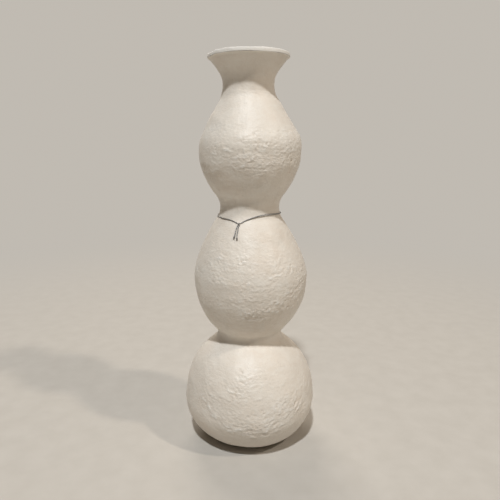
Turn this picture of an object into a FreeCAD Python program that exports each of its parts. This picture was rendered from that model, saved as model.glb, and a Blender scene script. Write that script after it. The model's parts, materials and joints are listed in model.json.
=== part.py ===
import FreeCAD, Part
import math
import os

import Sketcher

from FreeCAD import Vector

# A tall hand-built vase: three hollow gourd forms stacked on one upright axis, a flared collar on
# top, and a thin cord tied round the upper waist. Millimetres. +Z is up, the origin is on the axis
# at the underside of the foot, and the front, where the cord is knotted, faces -Y.

doc = FreeCAD.newDocument("gourd_vase")
sizes = doc.addObject("Spreadsheet::Sheet", "sizes")

SIZES = [
    # the clay walls
    ("wall", 6.0, "wall thickness of every hollow form"),
    ("base_thickness", 7.0, "thickness of the floor slab"),
    ("foot_radius", 44.0, "radius of the flat that stands on a surface"),
    # the lower gourd, from the floor to the lower waist
    ("lower_height", 147.7, "height of the lower gourd up to its waist"),
    ("lower_belly_radius", 89.7, "widest radius"),
    ("lower_belly_rise_share", 0.386, "height of the widest place, in gourd heights"),
    ("lower_belly_round_share", 0.9, "outline radius there, in heights from there to the waist"),
    ("lower_shoulder_start_share", 0.115, "turn before the shoulder, in turns to the straightest one"),
    ("lower_waist_radius", 43.8, "narrowest radius between lower and middle gourd"),
    ("lower_waist_round", 11.5, "outline radius of the hollow of the lower waist"),
    # the middle gourd, from the lower to the upper waist
    ("middle_height", 171.1, "waist to waist"),
    ("middle_belly_radius", 74.8, "widest radius"),
    ("middle_belly_rise_share", 0.462, "height of the widest place, in gourd heights"),
    ("middle_belly_round_share", 0.745, "outline radius there, in heights from there to the waist"),
    ("middle_shoulder_start_share", 0.733, "turn before the shoulder, as for the lower gourd"),
    ("upper_waist_radius", 38.5, "narrowest radius between middle and upper gourd"),
    ("upper_waist_round", 25.0, "outline radius of the hollow of the upper waist"),
    # the upper gourd, from the upper waist to the neck
    ("upper_height", 150.5, "upper waist to neck"),
    ("upper_belly_radius", 65.5, "widest radius"),
    ("upper_belly_rise_share", 0.499, "height of the widest place, in gourd heights"),
    ("upper_belly_round_share", 0.541, "outline radius there, in heights from there to the neck"),
    ("upper_shoulder_start_share", 0.846, "turn before the shoulder, as for the lower gourd"),
    ("neck_radius", 31.7, "narrowest radius below the collar"),
    ("neck_round_share", 0.775, "outline radius of the hollow of the neck, in collar heights"),
    # the flared collar, from the neck to the mouth
    ("collar_height", 38.7, "neck to the top of the lip"),
    ("flare_round", 128.0, "outline radius of the flare"),
    ("lip_radius", 51.3, "outer radius of the lip"),
    ("lip_height", 4.5, "height of the upright face of the lip"),
    ("lip_edge_round", 1.1, "rounding of the two edges of the lip"),
    # the bands of joining clay
    ("lower_band_height", 10.0, "height of the joining band in the lower waist"),
    ("upper_band_height", 12.0, "height of the joining band in the upper waist"),
    ("neck_band_height", 12.0, "height of the joining band in the neck"),
    # the tie cord
    ("cord_diameter", 1.2, "thickness of the cord"),
    ("cord_clearance", 0.3, "gap between the cord and the clay"),
    ("knot_wrap_radius", 0.8, "centre radius of each of the two turns of the knot"),
    ("knot_turn_spacing", 0.95, "distance between the two turns of the knot"),
    ("knot_angle", -17.0, "place of the knot round the vase, in degrees from the front"),
    ("knot_gap", 0.3, "gap between the knot and the cord that leaves it"),
    ("tip_diameter", 1.9, "thickness of a crimped tip"),
    ("tip_length", 2.4, "length of a crimped tip"),
    ("tip_edge_round", 0.4, "rounding of the ends of a tip"),
]

for row, (alias, value, meaning) in enumerate(SIZES, start=1):
    sizes.set(f"A{row}", meaning)
    sizes.set(f"B{row}", str(value))
    sizes.setAlias(f"B{row}", alias)
doc.recompute()
size = {alias: float(sizes.get(alias)) for alias, _, _ in SIZES}

# The heights of the waists, the neck and the bellies above the floor, as numbers and as the
# expressions that the sketches are bound to.
LOWER_WAIST = "sizes.lower_height"
UPPER_WAIST = "(sizes.lower_height + sizes.middle_height)"
NECK = "(sizes.lower_height + sizes.middle_height + sizes.upper_height)"
TOP = "(sizes.lower_height + sizes.middle_height + sizes.upper_height + sizes.collar_height)"
HOLLOW_ROUNDS = {
    "lower_waist": "sizes.lower_waist_round",
    "upper_waist": "sizes.upper_waist_round",
    "neck": "sizes.neck_round_share * sizes.collar_height",
}
lower_waist_level = size["lower_height"]
upper_waist_level = lower_waist_level + size["middle_height"]
neck_level = upper_waist_level + size["upper_height"]
top_level = neck_level + size["collar_height"]
neck_round = size["neck_round_share"] * size["collar_height"]


# The outline, worked out as arcs that run into each other.

class Arc:
    """A piece of the outline. A bulging arc has its centre on the axis side, a hollow one outside."""

    def __init__(self, centre, radius, hollow=False):
        self.centre = centre
        self.radius = radius
        self.hollow = hollow
        self.low = None
        self.high = None

    def inset(self, depth):
        """The same piece, moved towards the inside of the vase by depth."""
        radius = self.radius + depth if self.hollow else self.radius - depth
        other = Arc(self.centre, radius, self.hollow)
        for end in ("low", "high"):
            ray = (getattr(self, end) - self.centre).normalize()
            setattr(other, end, self.centre + ray * radius)
        return other

    def cut(self, level, end):
        """Ends the arc at a level."""
        across = math.sqrt(self.radius ** 2 - (level - self.centre.y) ** 2)
        x = self.centre.x - across if self.hollow else self.centre.x + across
        setattr(self, end, Vector(x, level, 0))


def meeting(first, reach_first, second, reach_second, side):
    """The point at two given distances from two centres; side picks the one of the two."""
    span = second - first
    far = span.Length
    along = (reach_first ** 2 - reach_second ** 2 + far ** 2) / (2 * far)
    up = math.sqrt(reach_first ** 2 - along ** 2)
    ahead = span / far
    return first + ahead * along + Vector(-ahead.y, ahead.x, 0) * up * side


def join(lower, upper, towards):
    """Gives two arcs that touch the end that they share, on the line through their centres."""
    ray = (upper.centre - lower.centre).normalize() * towards
    point = lower.centre + ray * lower.radius
    lower.high = point
    upper.low = point


def waist_arc(radius, hollow_round, level):
    return Arc(Vector(radius + hollow_round, level, 0), hollow_round, hollow=True)


def shoulder_arc_of(name, belly, waist_above):
    """The arc between a belly and the waist above.

    It starts at a share of the turn at which the shoulder would be a straight line.
    """
    reach = waist_above.centre - belly.centre
    grip = belly.radius + waist_above.radius
    straightest = math.atan2(reach.y, reach.x) - math.acos(grip / reach.Length)
    start = size[name + "_shoulder_start_share"] * straightest
    ray = Vector(math.cos(start), math.sin(start), 0)
    further = (reach.Length ** 2 - grip ** 2) / (2 * (grip - ray.dot(reach)))
    return Arc(belly.centre - ray * further, belly.radius + further)


def gourd_arcs(name, floor_level, waist_below, waist_above):
    """Underside, belly and shoulder of one gourd, between two hollow arcs or above the floor."""
    widest = size[name + "_belly_radius"]
    level = floor_level + size[name + "_belly_rise_share"] * size[name + "_height"]
    belly_round = size[name + "_belly_round_share"] * (waist_above.centre.y - level)
    if waist_below is None:
        reach = widest - size["foot_radius"]
        under_round = (reach ** 2 + (level - floor_level) ** 2) / (2 * reach)
    else:
        across = widest - waist_below.centre.x
        rise = level - waist_below.centre.y
        grip = waist_below.radius
        under_round = (across ** 2 + rise ** 2 - grip ** 2) / (2 * (grip + across))
    under = Arc(Vector(widest - under_round, level, 0), under_round)
    belly = Arc(Vector(widest - belly_round, level, 0), belly_round)
    shoulder = shoulder_arc_of(name, belly, waist_above)
    under.high = Vector(widest, level, 0)
    belly.low = Vector(widest, level, 0)
    join(belly, shoulder, -1)
    join(shoulder, waist_above, 1)
    if waist_below is None:
        under.low = Vector(size["foot_radius"], floor_level, 0)
    else:
        join(waist_below, under, 1)
    return under, belly, shoulder


lower_waist = waist_arc(size["lower_waist_radius"], size["lower_waist_round"], lower_waist_level)
upper_waist = waist_arc(size["upper_waist_radius"], size["upper_waist_round"], upper_waist_level)
neck = waist_arc(size["neck_radius"], neck_round, neck_level)
lower_arcs = gourd_arcs("lower", 0, None, lower_waist)
middle_arcs = gourd_arcs("middle", lower_waist_level, lower_waist, upper_waist)
upper_arcs = gourd_arcs("upper", upper_waist_level, upper_waist, neck)
lip_corner = Vector(size["lip_radius"], top_level - size["lip_height"], 0)
flare = Arc(meeting(neck.centre, size["flare_round"] - neck.radius,
                    lip_corner, size["flare_round"], -1),
            size["flare_round"], hollow=True)
flare.low = flare.centre + (neck.centre - flare.centre).normalize() * flare.radius
flare.high = lip_corner
neck.high = flare.low


# Sketches and bodies.

def plane_of(body, role):
    return next(f for f in body.Origin.OriginFeatures if f.Role == role)


class Profile:
    """A closed half section in the XZ plane of a body, held by constraints bound to the sizes."""

    def __init__(self, label):
        self.body = doc.addObject("PartDesign::Body", label)
        self.body.Label = label
        self.sketch = self.body.newObject("Sketcher::SketchObject", label + "_section")
        self.sketch.AttachmentSupport = (plane_of(self.body, "XZ_Plane"), [""])
        self.sketch.MapMode = "FlatFace"
        self.bound = 0

    def hold(self, *what):
        return self.sketch.addConstraint(Sketcher.Constraint(*what))

    def bind(self, expression, *what):
        """A constraint whose value is an expression of the sizes."""
        index = self.hold(*what)
        self.bound += 1
        name = f"bound_{self.bound}"
        self.sketch.renameConstraint(index, name)
        self.sketch.setExpression("Constraints." + name, expression)

    def add_arc(self, arc):
        """Adds an arc, and notes which of its two ends is the lower one."""
        first, last = (arc.high, arc.low) if arc.hollow else (arc.low, arc.high)
        turn = [math.atan2(p.y - arc.centre.y, p.x - arc.centre.x) for p in (first, last)]
        circle = Part.Circle(arc.centre, Vector(0, 0, 1), arc.radius)
        index = self.sketch.addGeometry(Part.ArcOfCircle(circle, turn[0], turn[1]), False)
        return (index, 2, 1) if arc.hollow else (index, 1, 2)

    def add_line(self, start, end):
        return self.sketch.addGeometry(Part.LineSegment(start, end), False)

    def add_point(self, place, across, up):
        """A construction point at a place bound to the sizes; up None leaves it on the floor."""
        index = self.sketch.addGeometry(Part.Point(place), True)
        self.bind(across, "DistanceX", -1, 1, index, 1, place.x)
        if up is None:
            self.hold("PointOnObject", index, 1, -1)
        else:
            self.bind(up, "DistanceY", -1, 1, index, 1, place.y)
        return index

    def add_ray(self, centre, end, arc_ends):
        """A construction line from the centre of an arc to its upper end."""
        index = self.sketch.addGeometry(Part.LineSegment(centre, end), True)
        self.hold("Coincident", index, 1, arc_ends[0], 3)
        self.hold("Coincident", index, 2, arc_ends[0], arc_ends[2])
        return index

    def place_centre(self, arc, index, across, up):
        self.bind(across, "DistanceX", -1, 1, index, 3, arc.centre.x)
        self.bind(up, "DistanceY", -1, 1, index, 3, arc.centre.y)

    def chain(self, arcs):
        """Adds arcs from the bottom up, each running smoothly into the next."""
        ends = [self.add_arc(arc) for arc in arcs]
        for below, above in zip(ends, ends[1:]):
            self.hold("Tangent", below[0], below[2], above[0], above[1])
        return ends

    def level_line(self, start, end, first, last, level):
        """A level line between two arc ends, at a height bound to the sizes."""
        line = self.add_line(start, end)
        self.hold("Coincident", line, 1, first[0], first[1])
        self.hold("Coincident", line, 2, last[0], last[1])
        self.hold("Horizontal", line)
        self.bind(level, "DistanceY", -1, 1, line, 1, start.y)
        return line

    def skin(self, outer, low_level, high_level, closed=True):
        """An outer chain, the same chain one wall further in, and the level faces that end them.

        Left open, the outer chain keeps its own upper end and the caller adds what closes it.
        """
        inner = [arc.inset(size["wall"]) for arc in outer]
        outer[0].cut(low_level[0], "low")
        inner[0].cut(low_level[0], "low")
        inner[-1].cut(high_level[0], "high")
        if closed:
            outer[-1].cut(high_level[0], "high")
        out_ends = self.chain(outer)
        in_ends = self.chain(inner)
        for one, other in zip(out_ends, in_ends):
            self.hold("Coincident", other[0], 3, one[0], 3)
        self.level_line(outer[0].low, inner[0].low, out_ends[0][:2], in_ends[0][:2], low_level[1])
        if closed:
            self.level_line(outer[-1].high, inner[-1].high,
                            (out_ends[-1][0], out_ends[-1][2]), (in_ends[-1][0], in_ends[-1][2]),
                            high_level[1])
        return inner, out_ends, in_ends

    def revolve(self):
        turned = self.body.newObject("PartDesign::Revolution", self.body.Label + "_turned")
        turned.Profile = self.sketch
        turned.ReferenceAxis = (self.sketch, ["V_Axis"])
        turned.Angle = 360
        self.sketch.Visibility = False
        doc.recompute()
        return turned


def copy_arc(arc):
    other = Arc(arc.centre, arc.radius, arc.hollow)
    other.low = arc.low
    other.high = arc.high
    return other


def bind_waist(profile, arc, ends, name, level):
    """Holds a hollow arc at its waist."""
    profile.place_centre(arc, ends[0], f"sizes.{name}_radius + {HOLLOW_ROUNDS[name]}", level)
    profile.bind(HOLLOW_ROUNDS[name], "Radius", ends[0], arc.radius)


def belly_to_waist(name):
    """The height from the widest place of a gourd to the waist above, as an expression."""
    return f"((1 - sizes.{name}_belly_rise_share) * sizes.{name}_height)"


def shoulder_start(name, waist):
    """The turn at which a shoulder starts, as an expression of the sizes."""
    up = belly_to_waist(name)
    belly_round = f"sizes.{name}_belly_round_share * {up}"
    hollow = HOLLOW_ROUNDS[waist]
    across = f"(sizes.{waist}_radius + {hollow} - sizes.{name}_belly_radius + {belly_round})"
    grip = f"({belly_round} + {hollow})"
    straightest = f"(atan2({up}; {across}) - acos({grip} / hypot({across}; {up})))"
    return f"sizes.{name}_shoulder_start_share * {straightest}"


def shell(name, arcs, below, above):
    """One hollow gourd. below and above are (waist name, its arc, its level, its band height)."""
    profile = Profile(name + "_gourd")
    outer = [copy_arc(arc) for arc in arcs]
    floor = "0"
    if below:
        outer.insert(0, copy_arc(below[1]))
        floor = below[2]
        low = (below[1].centre.y + size[below[3]] / 2, f"{below[2]} + sizes.{below[3]} / 2")
    else:
        low = (size["base_thickness"], "sizes.base_thickness")
    outer.append(copy_arc(above[1]))
    high = (above[1].centre.y - size[above[3]] / 2, f"{above[2]} - sizes.{above[3]} / 2")
    inner, out_ends, in_ends = profile.skin(outer, low, high)
    under, belly, shoulder = out_ends[-4:-1]
    belly_round = f"sizes.{name}_belly_round_share * {belly_to_waist(name)}"
    level = f"{floor} + sizes.{name}_belly_rise_share * sizes.{name}_height"
    profile.place_centre(outer[-3], belly[0], f"sizes.{name}_belly_radius - {belly_round}", level)
    profile.bind(belly_round, "Radius", belly[0], outer[-3].radius)
    ray = profile.add_ray(outer[-3].centre, outer[-3].high, belly)
    turn = math.atan2(outer[-3].high.y - outer[-3].centre.y, outer[-3].high.x - outer[-3].centre.x)
    profile.bind(shoulder_start(name, above[0]), "Angle", ray, turn)
    profile.bind(f"{belly_round} - sizes.wall", "Radius", in_ends[-3][0], inner[-3].radius)
    profile.hold("Horizontal", under[0], 3, belly[0], 3)
    bind_waist(profile, outer[-1], out_ends[-1], above[0], above[2])
    if below:
        bind_waist(profile, outer[0], out_ends[0], below[0], below[2])
    else:
        foot = profile.add_point(Vector(size["foot_radius"], 0, 0), "sizes.foot_radius", None)
        profile.hold("PointOnObject", foot, 1, under[0])
    profile.revolve()
    return profile


def band(label, name, arc, level, height):
    """The ring of joining clay in a waist, with the waist's own hollow outline."""
    profile = Profile(label)
    ring = copy_arc(arc)
    low = (arc.centre.y - size[height] / 2, f"{level} - sizes.{height} / 2")
    high = (arc.centre.y + size[height] / 2, f"{level} + sizes.{height} / 2")
    inner, out_ends, in_ends = profile.skin([ring], low, high)
    bind_waist(profile, ring, out_ends[0], name, level)
    profile.bind(HOLLOW_ROUNDS[name] + " + sizes.wall", "Radius", in_ends[0][0],
                 inner[0].radius)
    profile.revolve()
    return profile


def slab():
    """The round floor slab. Its edge carries on the curve of the lower gourd down to the foot."""
    profile = Profile("base_slab")
    edge = copy_arc(lower_arcs[0])
    edge.cut(size["base_thickness"], "high")
    ends = profile.add_arc(edge)
    middle_low = Vector(0, 0, 0)
    middle_high = Vector(0, size["base_thickness"], 0)
    under = profile.add_line(middle_low, edge.low)
    axis = profile.add_line(middle_high, middle_low)
    over = profile.add_line(edge.high, middle_high)
    profile.hold("Coincident", under, 1, -1, 1)
    profile.hold("Coincident", under, 2, ends[0], ends[1])
    profile.hold("Horizontal", under)
    profile.hold("Coincident", axis, 2, under, 1)
    profile.hold("Vertical", axis)
    profile.hold("Coincident", over, 2, axis, 1)
    profile.hold("Coincident", over, 1, ends[0], ends[2])
    profile.hold("Horizontal", over)
    profile.bind("sizes.base_thickness", "DistanceY", axis, 2, axis, 1, size["base_thickness"])
    profile.bind("sizes.foot_radius", "DistanceX", under, 1, under, 2, size["foot_radius"])
    belly_rise = "sizes.lower_belly_rise_share * sizes.lower_height"
    profile.bind(belly_rise, "DistanceY", -1, 1, ends[0], 3, edge.centre.y)
    widest = profile.add_point(Vector(size["lower_belly_radius"], edge.centre.y, 0),
                               "sizes.lower_belly_radius", belly_rise)
    profile.hold("PointOnObject", widest, 1, ends[0])
    profile.revolve()
    return profile


def collar():
    """The neck and flare, ending in an upright lip with rounded edges."""
    profile = Profile("flared_collar")
    outer = [copy_arc(neck), copy_arc(flare)]
    low = (neck_level + size["neck_band_height"] / 2, f"{NECK} + sizes.neck_band_height / 2")
    inner, out_ends, in_ends = profile.skin(outer, low, (top_level, TOP), closed=False)
    bind_waist(profile, outer[0], out_ends[0], "neck", NECK)
    profile.bind("sizes.flare_round", "Radius", out_ends[1][0], outer[1].radius)
    profile.bind(HOLLOW_ROUNDS["neck"] + " + sizes.wall", "Radius", in_ends[0][0],
                 inner[0].radius)
    rim_edge = Vector(size["lip_radius"], top_level, 0)
    face = profile.add_line(lip_corner, rim_edge)
    profile.hold("Coincident", face, 1, out_ends[1][0], out_ends[1][2])
    profile.hold("Vertical", face)
    profile.bind("sizes.lip_radius", "DistanceX", -1, 1, face, 1, size["lip_radius"])
    profile.bind("sizes.lip_height", "DistanceY", face, 1, face, 2, size["lip_height"])
    profile.level_line(rim_edge, inner[1].high, (face, 2), (in_ends[1][0], in_ends[1][2]), TOP)
    turned = profile.revolve()
    rim = [f"Edge{i}" for i, edge in enumerate(turned.Shape.Edges, start=1)
           if all(math.isclose(v.Z, top_level, rel_tol=1e-7) for v in edge.Vertexes)
           and isinstance(edge.Curve, Part.Circle)]
    rounded = profile.body.newObject("PartDesign::Fillet", "lip_rounded")
    rounded.Base = (turned, rim)
    rounded.setExpression("Radius", "sizes.lip_edge_round")
    doc.recompute()
    return profile


lower_side = ("lower_waist", lower_waist, LOWER_WAIST, "lower_band_height")
upper_side = ("upper_waist", upper_waist, UPPER_WAIST, "upper_band_height")
neck_side = ("neck", neck, NECK, "neck_band_height")
clay = [
    slab(),
    shell("lower", lower_arcs, None, lower_side),
    band("lower_waist_band", "lower_waist", lower_waist, LOWER_WAIST, "lower_band_height"),
    shell("middle", middle_arcs, lower_side, upper_side),
    band("upper_waist_band", "upper_waist", upper_waist, UPPER_WAIST, "upper_band_height"),
    shell("upper", upper_arcs, upper_side, neck_side),
    band("neck_band", "neck", neck, NECK, "neck_band_height"),
    collar(),
]


# The cord. Its route is given round the vase in degrees from the knot, and down from the upper
# waist in shares of the hollow outline radius there. The first table goes from the knot's left
# side round the back to its right side, the others go down each tail.
LOOP_ROUTE_SHARES = [
    (-11, 0.52), (-23, 0.47), (-39, 0.452), (-56, 0.444), (-73, 0.432), (-90, 0.416),
    (-107, 0.396), (-124, 0.376), (-141, 0.356), (-158, 0.336), (-175, 0.32), (-192, 0.308),
    (-209, 0.30), (-226, 0.296), (-243, 0.294), (-260, 0.288), (-276, 0.272), (-292, 0.24),
    (-307, 0.228), (-321, 0.244), (-333, 0.312), (-344, 0.412), (-352.5, 0.51),
]
KNOT_DROP_SHARE = 0.63
RIGHT_TAIL_SHARES = [(0.8, 0.704), (-0.2, 0.82), (0.1, 0.968), (-0.4, 1.128), (0.5, 1.28)]
LEFT_TAIL_SHARES = [(-1.5, 0.704), (-2.6, 0.816), (-3.3, 0.952), (-3.0, 1.10), (-3.4, 1.232)]
TIGHTEST_SHARE = 0.45

cord_radius = size["cord_diameter"] / 2
standoff = cord_radius + size["cord_clearance"]
shoulder_arc = middle_arcs[2]


def out_from_clay(level, distance):
    """The radius at which a point lies this far off the clay, on or below the upper waist."""
    seam = shoulder_arc.centre + (upper_waist.centre - shoulder_arc.centre).normalize() * (
        shoulder_arc.radius + distance)
    if level > seam.y:
        reach = upper_waist.radius - distance
        return upper_waist.centre.x - math.sqrt(reach ** 2 - (level - upper_waist.centre.y) ** 2)
    reach = shoulder_arc.radius + distance
    return shoulder_arc.centre.x + math.sqrt(reach ** 2 - (level - shoulder_arc.centre.y) ** 2)


def place(turn, drop_share, distance, spread=0.0):
    """A point off the clay. spread is the turn to its neighbour, whose chord it clears the clay by."""
    level = upper_waist_level - drop_share * size["upper_waist_round"]
    out = out_from_clay(level, distance) / math.cos(math.radians(spread) / 2)
    angle = math.radians(size["knot_angle"] + turn)
    return Vector(out * math.sin(angle), -out * math.cos(angle), level)


def route_wire(label, points):
    """Straight runs joined by arcs as large as the runs allow."""
    edges = []
    tightest = math.inf
    start = points[0]
    for before, corner, after in zip(points, points[1:], points[2:]):
        back = (before - corner).normalize()
        ahead = (after - corner).normalize()
        half_turn = (math.pi - back.getAngle(ahead)) / 2
        bite = TIGHTEST_SHARE * min((before - corner).Length, (after - corner).Length)
        radius = bite / math.tan(half_turn)
        tightest = min(tightest, radius)
        enter = corner + back * bite
        leave = corner + ahead * bite
        inward = (back + ahead).normalize()
        middle = corner + inward * (radius / math.cos(half_turn) - radius)
        edges.append(Part.LineSegment(start, enter).toShape())
        edges.append(Part.Arc(enter, middle, leave).toShape())
        start = leave
    edges.append(Part.LineSegment(start, points[-1]).toShape())
    route = doc.addObject("Part::Feature", label + "_route")
    route.Shape = Part.Wire(edges)
    route.Visibility = False
    print(label, "tightest radius", round(tightest, 1), "length", round(route.Shape.Length, 1))
    return route


def cord(label, points):
    """A tube of the cord's thickness along a route."""
    route = route_wire(label, points)
    section = doc.addObject("Part::Circle", label + "_section")
    section.setExpression("Radius", "sizes.cord_diameter / 2")
    facing = FreeCAD.Rotation(Vector(0, 0, 1), points[1] - points[0])
    section.Placement = FreeCAD.Placement(points[0], facing)
    section.Visibility = False
    doc.recompute()
    tube = doc.addObject("Part::Sweep", label)
    tube.Label = label
    tube.Sections = [section]
    tube.Spine = (route, [f"Edge{i + 1}" for i in range(len(route.Shape.Edges))])
    tube.Solid = True
    tube.Frenet = False
    doc.recompute()
    full = math.pi * cord_radius ** 2 * route.Shape.Length
    if not math.isclose(tube.Shape.Volume, full, rel_tol=0.01):
        raise ValueError(f"{label} has the wrong volume")
    return tube


knot_out = size["knot_wrap_radius"] + cord_radius
knot_centre = place(0, KNOT_DROP_SHARE, knot_out + size["cord_clearance"])
knot_reach = math.degrees(
    (size["knot_turn_spacing"] / 2 + cord_radius + size["knot_gap"])
    / math.hypot(knot_centre.x, knot_centre.y))
loop_turns = [0 - knot_reach] + [turn for turn, _ in LOOP_ROUTE_SHARES] + [knot_reach - 360]
loop_drops = [KNOT_DROP_SHARE] + [drop for _, drop in LOOP_ROUTE_SHARES] + [KNOT_DROP_SHARE]
loop_points = []
for i, (turn, drop) in enumerate(zip(loop_turns, loop_drops)):
    beside = [abs(turn - loop_turns[j]) for j in (i - 1, i + 1) if 0 <= j < len(loop_turns)]
    loop_points.append(place(turn, drop, standoff, max(beside) if len(beside) > 1 else 0.0))
tie_cord = cord("tie_cord", loop_points)


def knot():
    """Two turns of cord pulled tight side by side round the crossing, flat where the loop enters."""
    profile = Profile("tie_knot")
    wrap = size["knot_wrap_radius"]
    half = size["knot_turn_spacing"] / 2
    valley = Vector(wrap + math.sqrt(cord_radius ** 2 - half ** 2), 0, 0)
    low = Arc(Vector(wrap, -half, 0), cord_radius)
    low.low = Vector(wrap, -half - cord_radius, 0)
    low.high = valley
    high = Arc(Vector(wrap, half, 0), cord_radius)
    high.low = valley
    high.high = Vector(wrap, half + cord_radius, 0)
    ends = [profile.add_arc(low), profile.add_arc(high)]
    for arc, end, sign in ((low, ends[0], "-"), (high, ends[1], "")):
        profile.place_centre(arc, end[0], "sizes.knot_wrap_radius",
                             sign + "sizes.knot_turn_spacing / 2")
        profile.bind("sizes.cord_diameter / 2", "Radius", end[0], cord_radius)
    profile.hold("Coincident", ends[0][0], ends[0][2], ends[1][0], ends[1][1])
    profile.hold("Vertical", ends[0][0], ends[0][1], ends[0][0], 3)
    profile.hold("Vertical", ends[1][0], ends[1][2], ends[1][0], 3)
    foot = Vector(0, low.low.y, 0)
    head = Vector(0, high.high.y, 0)
    under = profile.add_line(foot, low.low)
    over = profile.add_line(high.high, head)
    axis = profile.add_line(head, foot)
    profile.hold("Coincident", under, 2, ends[0][0], ends[0][1])
    profile.hold("Coincident", over, 1, ends[1][0], ends[1][2])
    profile.hold("Coincident", under, 1, axis, 2)
    profile.hold("Coincident", over, 2, axis, 1)
    profile.hold("Horizontal", under)
    profile.hold("Horizontal", over)
    profile.hold("PointOnObject", under, 1, -2)
    profile.hold("PointOnObject", over, 2, -2)
    profile.revolve()
    angle = math.radians(size["knot_angle"])
    along = Vector(math.cos(angle), math.sin(angle), 0)
    profile.body.Placement = FreeCAD.Placement(
        knot_centre, FreeCAD.Rotation(Vector(0, 0, 1), along))
    doc.recompute()
    return profile


tie_knot = knot()


def tail(side, route_shares):
    """A free end of the cord, lying down the shoulder to its crimped tip."""
    lift = [standoff] * (len(route_shares) - 1)
    lift.append(size["tip_diameter"] / 2 + size["cord_clearance"])
    points = [place(turn, drop, distance)
              for (turn, drop), distance in zip(route_shares, lift)]
    tube = cord(side + "_tail", points)
    body = doc.addObject("PartDesign::Body", side + "_tip")
    body.Label = side + "_tip"
    sketch = body.newObject("Sketcher::SketchObject", side + "_tip_section")
    sketch.AttachmentSupport = (plane_of(body, "XY_Plane"), [""])
    sketch.MapMode = "FlatFace"
    ring = sketch.addGeometry(
        Part.Circle(Vector(0, 0, 0), Vector(0, 0, 1), size["tip_diameter"] / 2), False)
    sketch.addConstraint(Sketcher.Constraint("Coincident", ring, 3, -1, 1))
    index = sketch.addConstraint(Sketcher.Constraint("Diameter", ring, size["tip_diameter"]))
    sketch.renameConstraint(index, "thickness")
    sketch.setExpression("Constraints.thickness", "sizes.tip_diameter")
    sleeve = body.newObject("PartDesign::Pad", side + "_tip_sleeve")
    sleeve.Profile = sketch
    sleeve.setExpression("Length", "sizes.tip_length")
    sketch.Visibility = False
    doc.recompute()
    rims = [f"Edge{i}" for i, edge in enumerate(sleeve.Shape.Edges, start=1)
            if isinstance(edge.Curve, Part.Circle)]
    rounded = body.newObject("PartDesign::Fillet", side + "_tip_rounded")
    rounded.Base = (sleeve, rims)
    rounded.setExpression("Radius", "sizes.tip_edge_round")
    facing = FreeCAD.Rotation(Vector(0, 0, 1), points[-1] - points[-2])
    body.Placement = FreeCAD.Placement(points[-1], facing)
    doc.recompute()
    return tube, body


pieces = [profile.body for profile in clay] + [tie_cord, tie_knot.body]
pieces += tail("left", LEFT_TAIL_SHARES)
pieces += tail("right", RIGHT_TAIL_SHARES)
doc.recompute()

for thing in doc.Objects:
    if "Invalid" in thing.State or "Error" in thing.State:
        raise ValueError(f"{thing.Name} did not recompute")
for profile in clay + [tie_knot]:
    if not profile.sketch.FullyConstrained:
        raise ValueError(f"{profile.sketch.Name} is not fully held by its constraints")
for piece in pieces:
    if piece.Shape.isNull() or not piece.Shape.isValid() or len(piece.Shape.Solids) != 1:
        raise ValueError(f"{piece.Label} is not one valid solid")

os.makedirs("parts", exist_ok=True)
for piece in pieces:
    piece.Shape.exportStep(f"parts/{piece.Label}.step")
    print(piece.Label, round(piece.Shape.Volume, 1))
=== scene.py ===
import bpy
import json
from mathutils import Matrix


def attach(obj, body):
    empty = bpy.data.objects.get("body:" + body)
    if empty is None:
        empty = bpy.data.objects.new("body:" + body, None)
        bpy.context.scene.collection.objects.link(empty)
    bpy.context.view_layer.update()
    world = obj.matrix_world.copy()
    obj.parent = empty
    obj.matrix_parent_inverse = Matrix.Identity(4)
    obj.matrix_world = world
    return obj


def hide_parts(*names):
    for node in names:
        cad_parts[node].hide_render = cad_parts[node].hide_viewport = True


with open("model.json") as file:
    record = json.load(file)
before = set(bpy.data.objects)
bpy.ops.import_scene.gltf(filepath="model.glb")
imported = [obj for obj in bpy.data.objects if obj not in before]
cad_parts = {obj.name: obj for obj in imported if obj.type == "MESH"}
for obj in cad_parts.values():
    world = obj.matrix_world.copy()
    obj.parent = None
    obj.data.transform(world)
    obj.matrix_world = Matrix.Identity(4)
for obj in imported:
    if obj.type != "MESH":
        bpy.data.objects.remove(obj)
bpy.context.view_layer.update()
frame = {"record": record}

import json
from math import acos, atan2, cos, degrees, hypot, pi, radians, sin, sqrt

import bpy
import numpy as np
from mathutils import Matrix, Vector

MM = 0.001
scene = bpy.context.scene


# The outline of the vase, in metres: thirteen arcs from the foot to the lip. Each is a centre, a
# radius, and whether it is hollow, so that its centre lies outside the clay.

WALL = 6 * MM
BASE_THICKNESS = 7 * MM
FOOT_RADIUS = 44 * MM
LIP_RADIUS = 51.3 * MM
LIP_HEIGHT = 4.5 * MM
LIP_EDGE_ROUND = 1.1 * MM
FLARE_ROUND = 128 * MM
COLLAR_HEIGHT = 38.7 * MM
# Each gourd: its height, its widest radius, the share of the height where it is widest, the
# belly's round as a share of the height above that, and the share of the belly's turn at which
# the shoulder starts.
GOURDS = [
    (147.7 * MM, 89.7 * MM, 0.386, 0.9, 0.115),
    (171.1 * MM, 74.8 * MM, 0.462, 0.745, 0.733),
    (150.5 * MM, 65.5 * MM, 0.499, 0.541, 0.846),
]
# Radius and hollow round of the two waists and the neck, and the heights of the bands on them.
HOLLOWS = [(43.8 * MM, 11.5 * MM), (38.5 * MM, 25 * MM), (31.7 * MM, 0.775 * COLLAR_HEIGHT)]
BANDS = [10 * MM, 12 * MM, 12 * MM]

WAIST_LEVELS = list(np.cumsum([height for height, *_ in GOURDS]))
TOP = WAIST_LEVELS[-1] + COLLAR_HEIGHT


def point(x, y):
    return np.array([x, y], float)


def direction(start, end):
    """The unit vector from one point towards another."""
    return (end - start) / np.hypot(*(end - start))


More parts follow.
